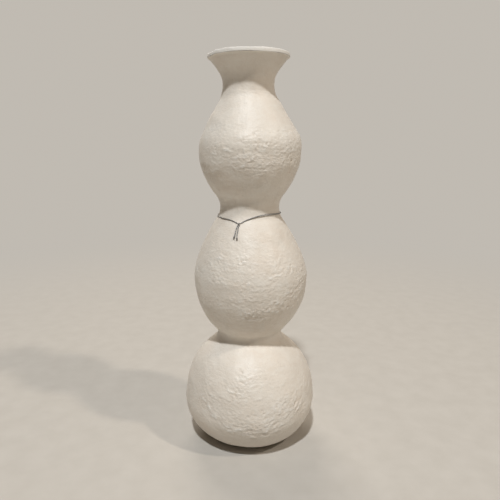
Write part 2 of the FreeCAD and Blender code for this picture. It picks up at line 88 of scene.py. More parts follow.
def meeting(first, reach_first, second, reach_second):
    """The point at given distances from two centres, on the right of the way between them."""
    far = np.hypot(*(second - first))
    along = (reach_first ** 2 - reach_second ** 2 + far ** 2) / (2 * far)
    ahead = direction(first, second)
    aside = sqrt(reach_first ** 2 - along ** 2)
    return first + ahead * along + point(ahead[1], -ahead[0]) * aside


def outline_arcs():
    """Arcs as (centre, radius, hollow) and the points where each begins, plus the last end."""
    arcs, joints = [], []
    floor = 0
    # each underside runs on from the hollow below, and the first from a point, which is the foot
    below, below_round = point(FOOT_RADIUS, 0), 0
    for (height, widest, rise, belly_share, start_share), (narrow, waist_round) in zip(GOURDS, HOLLOWS):
        level = floor + rise * height
        top = floor + height
        waist = point(narrow + waist_round, top)
        across, climb = point(widest, level) - below
        under_round = (across ** 2 + climb ** 2 - below_round ** 2) / (2 * (below_round + across))
        under = point(widest - under_round, level)
        # the shoulder touches the belly where it starts, and the hollow of the waist above
        belly_round = belly_share * (top - level)
        belly = point(widest - belly_round, level)
        span = waist - belly
        far = np.hypot(*span)
        grip = belly_round + waist_round
        start = start_share * (atan2(span[1], span[0]) - acos(grip / far))
        ray = point(cos(start), sin(start))
        further = (far ** 2 - grip ** 2) / (2 * (grip - ray @ span))
        shoulder = belly - ray * further
        shoulder_round = belly_round + further
        arcs += [(under, under_round, False), (belly, belly_round, False),
                 (shoulder, shoulder_round, False), (waist, waist_round, True)]
        joints += [below + direction(below, under) * below_round, point(widest, level),
                   belly + ray * belly_round, shoulder + direction(shoulder, waist) * shoulder_round]
        below, below_round = waist, waist_round
        floor = top
    corner = point(LIP_RADIUS, TOP - LIP_HEIGHT)
    flare = meeting(below, FLARE_ROUND - below_round, corner, FLARE_ROUND)
    arcs.append((flare, FLARE_ROUND, True))
    joints += [flare + direction(flare, below) * FLARE_ROUND, corner]
    return arcs, joints


ARCS, JOINTS = outline_arcs()
TRACE_STEP = 0.05 * MM


def lengths_along(line):
    """How far along the line each of its points is."""
    return np.concatenate([[0], np.cumsum(np.linalg.norm(np.diff(line, axis=0), axis=1))])


def read_at(line, length, at):
    """The line's columns read at some lengths along it."""
    return np.stack([np.interp(at, length, column) for column in line.T], 1)


def wall_table(depth):
    """Fine rows of the wall from the foot up, moved inwards by depth: radius, height, normal."""
    table = []
    for (centre, radius, hollow), start, end in zip(ARCS, JOINTS, JOINTS[1:]):
        turns = [atan2(p[1] - centre[1], p[0] - centre[0]) for p in (start, end)]
        if hollow:
            turns = [t % (2 * pi) for t in turns]
        count = max(2, int(abs(turns[1] - turns[0]) * radius / TRACE_STEP))
        turn = np.linspace(*turns, count)
        ray = np.stack([np.cos(turn), np.sin(turn)], 1)
        facing = -1 if hollow else 1
        table.append(np.hstack([centre + ray * (radius - facing * depth), ray * facing]))
    return np.concatenate(table)


def between(table, low, high, step):
    """Evenly spaced rows of a wall between two heights, ends included."""
    table = table[np.concatenate([[True], np.diff(table[:, 1]) > 0])]
    length = lengths_along(table[:, :2])
    ends = np.interp([low, high], table[:, 1], length)
    at = np.linspace(*ends, max(3, int((ends[1] - ends[0]) / step) + 2))
    rows = read_at(table, length, at)
    rows[0, 1], rows[-1, 1] = low, high
    return rows


# The rows of the mesh. Each is a radius, a height, and the outward and upward parts of the normal.

OUTER_TABLE = wall_table(0)
INNER_TABLE = wall_table(WALL)
OUTER_STEP = 1.15 * MM
INNER_STEP = 3.4 * MM
COLUMNS = 440
# The lip's worn outer face leans in. Its rows stand at these turns of its curve, and those of its
# inner edge at these turns of a rounding that is a little flattened.
LIP_LEAN = 1.7 * MM
LIP_FACE_POWER = 0.8
LIP_FACE_TURNS = [4, 14, 24, 34, 44, 54, 64, 74, 83, 90]
LIP_INNER_TURNS = [30, 60, 85]
LIP_INNER_SHARE = 0.9
LIP_INNER_DEPTH = 1 * MM
# The foot's flat rows end a little inside its radius, and the rows of its rounded edge start with
# their distance from that radius.
AXIS_GAP = 0.6 * MM
FOOT_ROWS = 16
FLOOR_ROWS = 14
FOOT_FLAT_END = 2.2 * MM
FOOT_EDGE = [(1.4 * MM, 0, 0.1, -0.99), (0.5 * MM, 0.08 * MM, 0.35, -0.93)]
WALL_START = 0.9 * MM


def lip_rows():
    """Rows up the lip's worn outer face, over its top and down to the inner flare."""
    flare_centre, flare_round, _ = ARCS[-1]
    reach = flare_round + WALL
    inner_edge = flare_centre[0] - sqrt(reach ** 2 - (TOP - flare_centre[1]) ** 2)
    shoulder = LIP_RADIUS - LIP_LEAN
    edge = inner_edge + LIP_EDGE_ROUND
    rows = []
    for turn in np.radians(LIP_FACE_TURNS):
        rows.append((shoulder + LIP_LEAN * cos(turn) ** LIP_FACE_POWER,
                     TOP - LIP_HEIGHT * (1 - sin(turn)), cos(turn), sin(turn)))
    for share in (0.5, 1):
        rows.append((shoulder + share * (edge - shoulder), TOP, 0, 1))
    for turn in np.radians(LIP_INNER_TURNS):
        rows.append((edge - LIP_EDGE_ROUND * sin(turn) * LIP_INNER_SHARE,
                     TOP - LIP_EDGE_ROUND * (1 - cos(turn)), -sin(turn),
                     cos(turn)))
    return np.array(rows)


# One path of rows runs from the middle of the underside up the outside, over the lip and down
# the inside to the middle of the floor. Every piece of clay is one or two runs of these rows, so
# that neighbours share their edges exactly.

SPLITS = [BASE_THICKNESS]
for level, height in zip(WAIST_LEVELS, BANDS):
    SPLITS += [level - height / 2, level + height / 2]
CLAY_NODES = ["base_slab", "lower_gourd", "lower_waist_band", "middle_gourd",
              "upper_waist_band", "upper_gourd", "neck_band", "flared_collar"]


def build_rows():
    """All rows, which of them are outside, and the first and last row of each piece's runs."""
    foot = np.linspace(AXIS_GAP, FOOT_RADIUS - FOOT_FLAT_END, FOOT_ROWS)
    rows = [(r, 0, 0, -1) for r in foot]
    rows += [(FOOT_RADIUS - inset, *row) for inset, *row in FOOT_EDGE]
    edges = [0]
    levels = [WALL_START] + SPLITS + [TOP - LIP_HEIGHT]
    for low, high in zip(levels, levels[1:]):
        block = between(OUTER_TABLE, low, high, OUTER_STEP)
        rows += list(block if low == WALL_START else block[1:])
        edges.append(len(rows) - 1)
    # the collar's one run goes on from here over the lip and down the inside
    edges.pop()
    rows += list(lip_rows())
    outside = len(rows)
    levels = SPLITS + [TOP - LIP_INNER_DEPTH]
    for low, high in reversed(list(zip(levels, levels[1:]))):
        block = between(INNER_TABLE, low, high, INNER_STEP)[::-1] * (1, 1, -1, -1)
        rows += list(block if high == levels[-1] else block[1:])
        edges.append(len(rows) - 1)
    across = np.linspace(rows[-1][0], AXIS_GAP, FLOOR_ROWS)[1:]
    rows += [(r, BASE_THICKNESS, 0, 1) for r in across]
    edges.append(len(rows) - 1)
    spans = list(zip(edges, edges[1:]))
    runs = {name: [spans[i], spans[-1 - i]] for i, name in enumerate(CLAY_NODES)}
    runs["flared_collar"] = runs["flared_collar"][:1]
    return np.array(rows), np.arange(len(rows)) < outside, runs


ROWS, OUTSIDE, RUNS = build_rows()
TURNS = np.arange(COLUMNS) * (2 * pi / COLUMNS)


# Smooth random fields.

random = np.random.default_rng(23)
SHUFFLE = np.tile(random.permutation(256), 3)
SLOPES = random.normal(size=(256, 3))
SLOPES /= np.linalg.norm(SLOPES, axis=1, keepdims=True)
NOISE_GAIN = 1.4


def noise(places, wavelength, shift=0):
    """Gradient noise, about -0.8 to 0.8. wavelength is one number, or one for each axis."""
    p = places / np.asarray(wavelength) + shift
    cell = np.floor(p).astype(int)
    part = p - cell
    ease = part ** 3 * (part * (part * 6 - 15) + 10)
    total = np.zeros(len(p))
    for corner in np.ndindex(2, 2, 2):
        key = 0
        for axis in range(3):
            key = SHUFFLE[(key + cell[:, axis] + corner[axis]) % 256]
        weight = np.prod(np.where(corner, ease, 1 - ease), axis=1)
        total += weight * np.sum(SLOPES[key] * (part - corner), axis=1)
    return total * NOISE_GAIN


def drift(places, wavelength, shifts):
    """A smooth random vector at each place, with one shift for each of its three parts."""
    return np.stack([noise(places, wavelength, shift) for shift in shifts], 1)


def sharp_crests(places, wavelength, shift):
    """Narrow crests between wide hollows, which average to nothing."""
    crests = -np.abs(noise(places, wavelength, shift))
    return crests - crests.mean()


def ramp(value, low, high):
    """0 below low, 1 above high, smooth between."""
    t = np.clip((value - low) / (high - low), 0, 1)
    return t * t * (3 - 2 * t)


def eased(value, table):
    """Values of a table of (place, value), eased between its places."""
    places, values = np.array(table, float).T
    index = np.clip(np.searchsorted(places, value, side="right") - 1, 0, len(places) - 2)
    share = ramp(value, places[index], places[index + 1])
    return values[index] + share * (values[index + 1] - values[index])


def bell(value, middle, half_width):
    """1 at the middle, falling off smoothly to both sides."""
    return np.exp(-((value - middle) / half_width) ** 2)


# The relief of the clay. Its sizes are in millimetres, and the turns in its tables are in degrees
# from the front.

# The wander of the hand-built outline at some heights, chosen against the photograph's:
# how far the axis shifts to the right, and how much the radius grows.
WANDER = [
    (0, 0), (45, -0.3), (80, 0), (120, -0.6), (165, 0), (195, 1.1), (240, 1), (280, 0.2), (320, -0.3),
    (385, 0.2), (408, 1.1), (434, -0.6), (447, -0.2), (462, -1.4), (508, -1.2),
]
GROWTH = [
    (0, 0), (5, 0.1), (12, 0.15), (20, -0.15), (30, -0.4), (45, 0), (110, -0.1), (131, -0.4), (165, 0),
    (202, 0.3), (240, 0), (310, 0), (348, -0.5), (374, 0.25), (392, 0), (416, -0.45), (437, -0.3),
    (452, 0.3), (464, 0.5), (482, 0), (496, -0.2), (503, -0.8), (506, -0.5), (508, -0.2),
]
# How far the hand-cut rim drops at some turns.
RIM_DROPS = [
    (-180, 0.5), (-150, 0.9), (-118, 0.4), (-92, 1.2), (-66, 1.5), (-46, 0.7), (-27, -0.1), (-10, -0.3),
    (8, -0.3), (28, -0.1), (48, -0.2), (66, -0.1), (88, 0.5), (112, 0.3), (146, 1), (180, 0.5),
]
# Where the clay is roughest: height and half height of each rough belt, and how rough it is.
ROUGH_BELTS = [(64, 46, 0.95), (222, 52, 1), (384, 36, 1)]
# Clusters of tight wrinkles on the front: turn, height, half width, half height, and how rough.
CLUSTERS = [
    (13, 398, 14, 5, 0.8), (44, 395, 12, 9, 0.9), (2, 383, 15, 6, 0.7), (12, 368, 17, 6, 0.7),
    (-8, 391, 12, 4, 0.5), (2, 411, 18, 4, 0.45), (30, 384, 14, 10, 0.7), (60, 373, 10, 10, 0.8),
    (-40, 384, 9, 10, 0.5), (26, 242, 8, 5, 1.1), (43, 248, 9, 7, 0.9), (-9, 260, 9, 6, 0.8),
    (-40, 237, 10, 8, 0.8), (13, 284, 12, 4, 0.4), (12, 197, 26, 6, 0.8), (37, 210, 18, 13, 0.9),
    (-13, 214, 15, 4, 0.7), (-3, 190, 22, 4, 0.5), (-34, 262, 12, 9, 0.5), (4, 232, 16, 3, 0.5),
    (58, 228, 9, 14, 0.6), (-12, 91, 13, 7, 1.1), (-12, 104, 9, 4, 0.9), (5, 113, 15, 7, 0.6),
    (35, 74, 18, 12, 1.05), (0, 48, 28, 7, 1.1), (-43, 70, 13, 13, 0.7), (18, 61, 18, 10, 0.95),
    (58, 86, 10, 16, 0.6),
]
# Shallow ridges all round, from the way the wall was built up: height, half width, height out.
COIL_RIDGES = [
    (56, 7, 0.22), (88, 9, 0.16), (118, 8, 0.12), (196, 6, 0.22), (232, 5, 0.34), (262, 8, 0.16),
    (352, 7, 0.16), (376, 6, 0.24), (402, 7, 0.16), (436, 8, 0.12),
]
# Marks in the clay: turn, height, length, tilt, width, depth (below 0 is raised).
MARKS = [
    (44.3, 247.5, 2.4, 70, 1.5, 0.9), (25.1, 244.4, 9, 4, 1, 0.55), (21.5, 239, 8, -6, 1.6, -0.4),
    (-38.8, 234, 7, 0, 1, 0.5), (-6, 261, 6, -25, 1.2, 0.35), (4.5, 258, 7, -10, 1.2, -0.35),
    (-7.5, 247, 7, 8, 1.3, -0.4), (13, 231, 26, 2, 1.3, 0.28), (-9, 233.5, 22, -7, 1.5, 0.25),
    (9, 226.5, 12, 5, 1.4, -0.3), (-14, 208, 14, 3, 1.3, 0.32), (22, 203, 16, 14, 1.3, 0.3),
    (47, 218, 20, 34, 1.4, 0.38), (55, 211, 18, 38, 1.5, -0.35), (40, 198, 20, 30, 1.4, 0.32),
    (30, 189.5, 22, 22, 1.5, 0.3), (-29, 207, 9, 4, 1.2, 0.3), (-38, 245, 8, 30, 1.4, -0.35),
    (-33, 262, 9, -12, 1.8, -0.3), (-3, 192, 20, -3, 1.5, -0.3), (2, 187.5, 22, 3, 1.4, 0.3),
    (43, 74, 11, 34, 1.5, 0.45), (46, 66, 8, 36, 1.5, -0.4), (35, 62, 10, 32, 1.5, 0.4),
    (52, 78, 9, 42, 1.4, 0.4), (28, 78, 9, 24, 1.4, -0.4), (22, 54, 8, 20, 1.7, 0.4),
    (37, 79, 8, 30, 1.3, 0.4), (30, 69, 7, 26, 1.3, 0.45), (24, 63, 7, 18, 1.4, 0.4),
    (43, 84, 10, 36, 1.3, -0.4), (18, 60, 9, 16, 1.3, -0.4), (36, 55, 12, 28, 1.5, -0.4),
    (-8, 49, 6, 12, 2.5, -0.8), (12.5, 45.5, 7, -12, 2.5, -0.8), (14, 39.5, 9, 6, 2, 0.5),
    (23, 43, 5, 12, 2.4, -0.6), (-16, 43.5, 5, -10, 2.4, -0.6), (3, 37.5, 5, 2, 2.4, -0.6),
    (31, 60, 5, 25, 2.2, -0.5), (-31, 60, 6, -25, 2.2, -0.5), (-40, 78, 5, -30, 2.2, -0.5),
    (4, 43, 8, -14, 1.6, -0.4), (-19, 51, 8, -20, 1.7, -0.45), (-13, 45, 7, -8, 1.7, -0.4),
    (-2, 47, 7, 6, 1.6, 0.45), (20, 47, 8, 14, 1.6, -0.5), (28, 50, 9, 22, 1.6, -0.45),
    (8, 53, 9, -6, 1.5, 0.4), (-6, 56, 9, 8, 1.5, 0.35), (3, 60, 8, 12, 1.4, -0.35),
    (-26, 55, 8, -24, 1.8, 0.3), (-36, 69, 7, -20, 1.8, -0.5), (-17, 96, 8, -20, 1.5, -0.4),
    (-9, 101, 7, -35, 1.4, -0.4), (-6, 106, 6, -25, 1.3, 0.35), (8, 89, 12, 12, 1.6, -0.3),
    (31, 98, 9, 30, 1.3, -0.3), (50, 91, 10, 55, 1.3, 0.3), (-38, 88, 10, -30, 1.6, -0.3),
    (2, 68, 16, 8, 1.9, 0.3), (39.5, 392, 9, 30, 1.3, -0.45), (46, 386, 9, 35, 1.3, 0.4),
    (61, 372, 6, 25, 1.4, -0.6), (33, 384, 9, 12, 1.4, 0.35), (52, 366, 8, 40, 1.4, 0.4),
    (20, 376, 8, 14, 1.4, -0.35), (13, 370.5, 6, 4, 1.3, 0.3), (3, 381, 7, -12, 1.5, 0.25),
    (-6, 374, 8, 10, 1.5, -0.25), (-26, 392, 9, -14, 1.6, -0.35), (-41, 380, 8, -35, 1.4, 0.4),
    (8, 400, 16, 3, 1.4, 0.3), (15, 403.5, 12, -8, 1.4, -0.35), (25, 398, 10, 12, 1.3, 0.3),
    (-12, 402, 12, 14, 1.4, 0.28),
]
# Patches of pits: turn, height, half width, half height.
PIT_PATCHES = [
    (-13, 93, 11, 8), (-8, 114, 8, 5), (-23, 101, 8, 6), (5, 70, 12, 6), (44, 244, 9, 6),
    (-3, 250, 10, 8), (50, 380, 10, 9), (10, 376, 12, 7), (150, 80, 16, 12), (205, 215, 16, 12),
    (120, 240, 14, 10), (250, 90, 16, 10), (170, 385, 18, 10),
]

# The share of a mark's depth that the slip leaves, the length under which a mark is a pit, and how
# far a crease strays from straight.
MARK_SHARE = 0.8
PIT_LENGTH = 4
CREASE_STRAY = 0.6
# Random creases and clusters keep between these turns, away from the front.
CREASE_TURNS = (66, 294)
CLUSTER_TURNS = (72, 288)
CREASES_IN_BELT = 16
PITS_IN_BELT = 22
PITS_IN_PATCH = 9
CLUSTERS_IN_BELT = 13


uniform = random.uniform


def scattered_marks():
    """Further creases on the sides and back, and pits everywhere, most of them in patches."""
    found = []
    for centre, spread, _ in ROUGH_BELTS:
        for _ in range(CREASES_IN_BELT):
            turn = uniform(*CREASE_TURNS)
            height = centre + uniform(-0.75, 0.75) * spread
            found.append((turn, height, uniform(6, 24),
                          28 * sin(radians(turn)) + uniform(-14, 14),
                          uniform(1.2, 1.9), random.choice([-1, 1]) * uniform(0.25, 0.5)))
        for _ in range(PITS_IN_BELT):
            found.append((uniform(0, 360), centre + uniform(-0.9, 0.9) * spread,
                          uniform(0.5, 2.5), uniform(-40, 40),
                          uniform(0.95, 1.4), uniform(0.25, 0.55)))
    for turn, height, wide, tall in PIT_PATCHES:
        for _ in range(PITS_IN_PATCH):
            found.append((turn + random.normal() * wide / 2, height + random.normal() * tall / 2,
                          uniform(0.5, 3), uniform(-50, 50),
                          uniform(0.9, 1.3), uniform(0.2, 0.5)))
    return found


def turn_from(turn, degrees):
    """The turn from a place that is given in degrees, at most half a round either way."""
    return (turn - radians(degrees) + pi) % (2 * pi) - pi


def marks(turn, height, radius):
    """The sum of the marks at each point, outwards."""
    total = np.zeros(len(turn))
    for mark_turn, mark_height, length, tilt, width, depth in MARKS + scattered_marks():
        reach = 0.8 * length + 3 * width
        near = np.flatnonzero(np.abs(height - mark_height) < reach)
        away = turn_from(turn[near], mark_turn)
        close = np.abs(away) * radius[near] < reach
        near, away = near[close], away[close]
        side, up = away * radius[near], height[near] - mark_height
        cosine, sine = cos(radians(tilt)), sin(radians(tilt))
        along = side * cosine + up * sine
        across = up * cosine - side * sine
        across = across + min(1, length / 8) * CREASE_STRAY * np.sin(along * 0.6 + mark_height)
        if length < PIT_LENGTH:
            shape = bell(along, 0, 0.5 * length + width) * bell(across, 0, width)
        else:
            fade = np.exp(-(np.abs(along) / (0.5 * length + 0.8 * width)) ** 3)
            shape = fade * (bell(across, 0, width) - 0.4 * bell(across, -1.9 * width, width))
        total[near] -= MARK_SHARE * depth * shape
    return total


def clusters(turn, height, radius):
    """How much rougher the clay is in each cluster, on the front and scattered over the rest."""
    found = list(CLUSTERS)
    for centre, spread, _ in ROUGH_BELTS:
        for _ in range(CLUSTERS_IN_BELT):
            found.append((uniform(*CLUSTER_TURNS), centre + uniform(-0.8, 0.8) * spread,
                          uniform(8, 20), uniform(4, 12), uniform(0.5, 1)))
    total = np.zeros(len(turn))
    for centre_turn, centre, wide, tall, level in found:
        near = np.flatnonzero(np.abs(height - centre) < 2.6 * tall)
        side = turn_from(turn[near], centre_turn) * radius[near] / wide
        total[near] += level * np.exp(-side ** 2 - ((height[near] - centre) / tall) ** 2)
    return total


# Two drifts bend the places at which the noise is read: their wavelength and shifts, and reach.
BEND = (26, (3.1, 7.7, 12.9))
BEND_REACH = 4.5
SHIVER = (8.5, (51.3, 55.9, 61.1))
SHIVER_REACH = 1.7
# The clay was wiped upwards to both sides of the front: how steeply, at some heights.
WIPE_HEIGHTS = [0, 130, 170, 330, 500]
WIPE_RISES = [0.2, 0.2, 0.12, 0.12, 0]
WIPE_LEAST_RADIUS = 30
# Lumps: how far each layer of noise stands out, its wavelength, and its shift.
WIDE_LUMPS = (0.55, 58, 1.3)
LUMPS = [(0.5, 27, 5.2), (0.3, 13.5, 9.9), (0.4, (24, 24, 70), 37.7)]
# Layers that show where the clay is rough: kind, wavelength, shift, how far it stands out outside
# and inside, and what it adds to the tone, which is above 0 on crests for a painted highlight and
# below 0 in creases for painted shade.
ROUGH_LAYERS = [
    (noise, (21, 21, 6), 2.2, 0.13, 0.1, 0.2),
    (noise, (8.2, 8.2, 3.5), 6.1, 0.22, 0.1, 0.35),
    (noise, (3.9, 3.9, 2.6), 8.8, 0.4, 0, 0.4),
    (sharp_crests, (13, 13, 6), 21.7, 0.15, 0, 0),
    (sharp_crests, (5.8, 5.8, 3.8), 27.3, 0.54, 0, 0.5),
]
# Creases run where a noise passes through nothing, in some places: their noises, half width, and
# what they add outside, inside and to the tone, where they paint shade.
CREASE_LINES = ((15, 15, 6), 14.2)
CREASE_PLACES = ((22, 22, 9), 17.3)
CREASE_WIDTH = 0.08
CREASE_SHARES = (-0.26, 0, -0.8)
# How much the marks add to the tone: painted shade in their grooves and pits, painted highlight on
# raised marks.
MARK_PAINTED_SHADING = 0.8
# Patches of rough clay, upright strokes of a brush, and level marks of wiping.
ROUGH_PATCHES = ((30, 30, 15), 4.4)
BRUSH_STROKES = ((6.5, 6.5, 45), 31.9)
WIPE_MARKS = ((34, 34, 2.8), 43.1)
STROKE_DEPTH = 0.09
# How much paler the rim is, partly worn pale slip and partly a painted highlight on the lit lip, and
# where this starts and is full, above its lower corner.
RIM_SLIP_AND_HIGHLIGHT = 0.62
RIM_SLIP_AND_HIGHLIGHT_RISE = (-2, 1)
# Roughness, and what belts add to it.
LEAST_ROUGH = 0.15
BELT_ROUGH = 0.62
INSIDE_ROUGH = 0.2
RIDGE_WAVER = 3.5
# The lines that fingers left inside.
FINGER_SPACING = 11
FINGER_WAVER = 2.5
FINGER_DEPTH = 0.16

LIP_TOP = TOP / MM
LIP_CORNER = (TOP - LIP_HEIGHT) / MM


def bent_places(mm, turn):
    """The random warp, and the places bent by it, without and with the wiping to the sides."""
    warp = drift(mm, *BEND)
    bent = mm + warp * BEND_REACH
    wiped = bent.copy()
    rise = np.interp(mm[:, 2], WIPE_HEIGHTS, WIPE_RISES)
    reach = np.maximum(np.hypot(mm[:, 0], mm[:, 1]), WIPE_LEAST_RADIUS)
    wiped[:, 2] -= rise * reach * (2 - 2 * np.cos(turn))
    wiped += SHIVER_REACH * drift(mm, *SHIVER)
    return warp, bent, wiped


def roughness(turn, height, radius, warp, wiped):
    """How rough the clay is: in belts round the bellies, in patches there, and in clusters."""
    belts = sum(level * np.exp(-((height - centre) / spread) ** 4)
                for centre, spread, level in ROUGH_BELTS)
    patch = ramp(noise(wiped, *ROUGH_PATCHES), -0.15, 0.35)
    rough = LEAST_ROUGH + BELT_ROUGH * belts * (0.3 + 0.7 * patch)
    tight = clusters(turn + 0.06 * warp[:, 0], height + 4 * warp[:, 1], radius)
    return rough + tight * (1 - 0.32 * np.minimum(tight, 1.5))


def rough_layers(mm, wiped):
    """What the rough clay adds to the outside, to the inside and to the tone."""
    lines = ramp(CREASE_WIDTH - np.abs(noise(wiped, *CREASE_LINES)), 0, CREASE_WIDTH)
    sums = np.outer(CREASE_SHARES, lines * ramp(noise(mm, *CREASE_PLACES), 0, 0.4))
    for kind, wavelength, shift, *shares in ROUGH_LAYERS:
        sums += np.outer(shares, kind(wiped, wavelength, shift))
    return sums


def relief(places, turn, outside):
    """How far each point of the clay stands out, the tone that paints shade and highlight on the slip,
    and how rough the clay is.
    """
    mm = places / MM
    height = mm[:, 2]
    radius = np.hypot(mm[:, 0], mm[:, 1])
    warp, bent, wiped = bent_places(mm, turn)
    out, wavelength, shift = WIDE_LUMPS
    lumps = out * noise(mm, wavelength, shift)
    lumps += sum(out * noise(bent, wavelength, shift) for out, wavelength, shift in LUMPS)
    rough = roughness(turn, height, radius, warp, wiped)
    rough_out, rough_in, rough_painted_shading = rough_layers(mm, wiped)
    strokes = noise(mm, *BRUSH_STROKES) * (1.2 - rough) + 0.7 * noise(wiped, *WIPE_MARKS)
    ridges = sum(out * bell(height + RIDGE_WAVER * warp[:, 0], level, half)
                 for level, half, out in COIL_RIDGES)
    ridges = ridges * (0.55 + 0.9 * np.clip(warp[:, 1] + 0.3, 0, 1))
    made = marks(turn, height, radius)
    shape = lumps + ridges + STROKE_DEPTH * strokes + made + rough * rough_out
    finger_lines = np.sin((height + FINGER_WAVER * warp[:, 2]) * (2 * pi / FINGER_SPACING))
    calm = 0.5 * lumps + rough_in + FINGER_DEPTH * finger_lines * (0.6 + warp[:, 0])
    # The paler rim is partly worn slip and partly a painted highlight on the lit lip.
    rim_slip_and_highlight = RIM_SLIP_AND_HIGHLIGHT * ramp(height - LIP_CORNER, *RIM_SLIP_AND_HIGHLIGHT_RISE) * outside
    # The tone paints shade in creases, grooves and pits and a highlight on crests and raised marks.
    tone = rough * rough_painted_shading + MARK_PAINTED_SHADING * made + rim_slip_and_highlight
    return np.where(outside, shape, calm), tone, np.where(outside, rough, INSIDE_ROUGH)


# The relief is held back round the widest belly, to stay inside the solid: height, half height
# and how far. The foot stands flat, so the relief grows from nothing over the first millimetres.
HELD_BACK = (57, 34, 0.75)
FOOT_CALM = 6
WIDEST = 89.55
# Near the lip the relief keeps between two limits.
LIP_ZONE = 496
LIP_LIMITS = (-1.1, 0.3)
# The hand-cut rim's uneven top and lower corner, with waves in shares of its radius.
RIM_UNEVEN = 0.3
RIM_WAVE = (0.42, 3)
CORNER_UNEVEN = 0.4
CORNER_WAVE = (0.5, 9)
CORNER_DROP = 0.55
CORNER_HALF_HEIGHT = 1.6
# The least room below the solid's top.
TOP_ROOM = 0.05


def rim_lift(turn, height, outside):
    """How far the uneven cut raises each point of the rim."""
    around = np.stack([np.sin(turn), np.cos(turn), 0 * turn], 1)
    drop = eased((np.degrees(turn) + 180) % 360 - 180, RIM_DROPS)
    drop = np.maximum(drop + RIM_UNEVEN * noise(around, *RIM_WAVE), 0)
    corner = CORNER_UNEVEN * noise(around, *CORNER_WAVE) - CORNER_DROP
    near_corner = bell(height, LIP_CORNER, CORNER_HALF_HEIGHT) * outside
    return corner * near_corner - drop * ramp(height, LIP_ZONE, LIP_TOP)


def turned(out, up):
    """Values of the rows carried round the axis to every column: x and y from out, z from up."""
    up = np.broadcast_to(up[:, None], (len(up), COLUMNS))
    return np.stack([out[:, None] * np.sin(TURNS), -out[:, None] * np.cos(TURNS), up], 2)


def build_grid():
    """Places, normals, tone (painted shade and highlight) and roughness of every row and column."""
    turn = np.tile(TURNS, len(ROWS))
    outside = np.repeat(OUTSIDE, COLUMNS)
    places = turned(ROWS[:, 0], ROWS[:, 1]).reshape(-1, 3)
    outwards = turned(ROWS[:, 2], ROWS[:, 3]).reshape(-1, 3)
    height = places[:, 2] / MM
    shape, tone, rough = relief(places, turn, outside)
    middle, half_height, held = HELD_BACK
    shape = shape + (eased(height, GROWTH) - held * bell(height, middle, half_height)) * outside
    shape = shape * ramp(height, 0, FOOT_CALM)
    shape = np.where(height > LIP_ZONE, np.clip(shape, *LIP_LIMITS), shape)
    room = WIDEST - np.hypot(places[:, 0], places[:, 1]) / MM
    shape = np.where(outside, np.minimum(shape, room), shape)
    places = places + outwards * (shape * MM)[:, None]
    places[:, 0] += eased(height, WANDER) * MM
    places[:, 2] += rim_lift(turn, height, outside) * MM
    places[:, 2] = np.minimum(places[:, 2], TOP - TOP_ROOM * MM)
    grid = places.reshape(len(ROWS), COLUMNS, 3)
    sideways = np.roll(grid, -1, 1) - np.roll(grid, 1, 1)
    upwards = np.empty_like(grid)
    upwards[1:-1] = grid[2:] - grid[:-2]
    upwards[0], upwards[-1] = grid[1] - grid[0], grid[-1] - grid[-2]
    normals = np.cross(sideways, upwards)
    normals /= np.linalg.norm(normals, axis=2, keepdims=True)
    return grid, normals, {"tone": tone.reshape(-1, COLUMNS), "rough": rough.reshape(-1, COLUMNS)}


GRID, NORMALS, TONES = build_grid()


# The pieces of clay.

def ring_faces(low, high, around):
    """Faces between two rings of points, given the number of each ring's first point."""
    here = np.arange(around)
    beside = (here + 1) % around
    return np.stack([low + here, low + beside, high + beside, high + here], 1)


def end_faces(last, around):
    """Faces that close a tube at its first ring and at its last, which starts at this number."""
    return [list(range(around - 1, -1, -1)), list(range(last, last + around))]


def add_object(name, data):
    thing = bpy.data.objects.new(name, data)
    scene.collection.objects.link(thing)
    return thing


def mesh_object(name, places, faces):
    """A smooth mesh in the scene, from its points and faces."""
    mesh = bpy.data.meshes.new(name)
    mesh.from_pydata(places, [], faces)
    mesh.polygons.foreach_set("use_smooth", np.ones(len(faces), bool))
    mesh.update()
    return add_object(name, mesh)


def finish_piece(piece, node):
    """Gives a piece the material of its node's slot, hangs it on the root body, and hides the node that
    it replaces.
    """
    piece.data.materials.append(MATERIALS[SLOTS[node]])
    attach(piece, "root")
    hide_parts(node)


def clay_piece(name):
    """One closed piece of clay: its runs of rows joined by level faces where the next piece is."""
    order = []
    for first, last in RUNS[name]:
        order += list(range(first, last + 1))
    faces, corners = [], []
    normals = NORMALS[order].reshape(-1, 3)
    # the slab's rows end at the axis, and every other piece's rows close into a ring
    reaches_axis = name == "base_slab"
    for i in range(len(order) - 1 if reaches_axis else len(order)):
        j = (i + 1) % len(order)
        quads = ring_faces(i * COLUMNS, j * COLUMNS, COLUMNS)
        faces += quads.tolist()
        if abs(order[j] - order[i]) == 1:
            corners.append(normals[quads].reshape(-1, 3))
        else:
            corners.append(np.tile([0, 0, 1 if OUTSIDE[order[i]] else -1], (4 * COLUMNS, 1)))
    if reaches_axis:
        faces += end_faces((len(order) - 1) * COLUMNS, COLUMNS)
        corners += [np.tile([0, 0, up], (COLUMNS, 1)) for up in (-1, 1)]
    piece = mesh_object(name + "_surface", GRID[order].reshape(-1, 3).tolist(), faces)
    piece.data.normals_split_custom_set(np.concatenate(corners).tolist())
    for tone, values in TONES.items():
        attribute = piece.data.attributes.new(tone, "FLOAT", "POINT")
        attribute.data.foreach_set("value", values[order].ravel().astype(np.float32))
    return piece


# Materials. Noise scales count waves in a metre.

# The sockets of a colour mix.
MIX_SHARE = 0
MIX_FIRST = 6
MIX_SECOND = 7
MIX_RESULT = 2


def new_tree(owner):
    """The emptied node tree of a material or world."""
    owner.use_nodes = True
    owner.node_tree.nodes.clear()
    return owner.node_tree


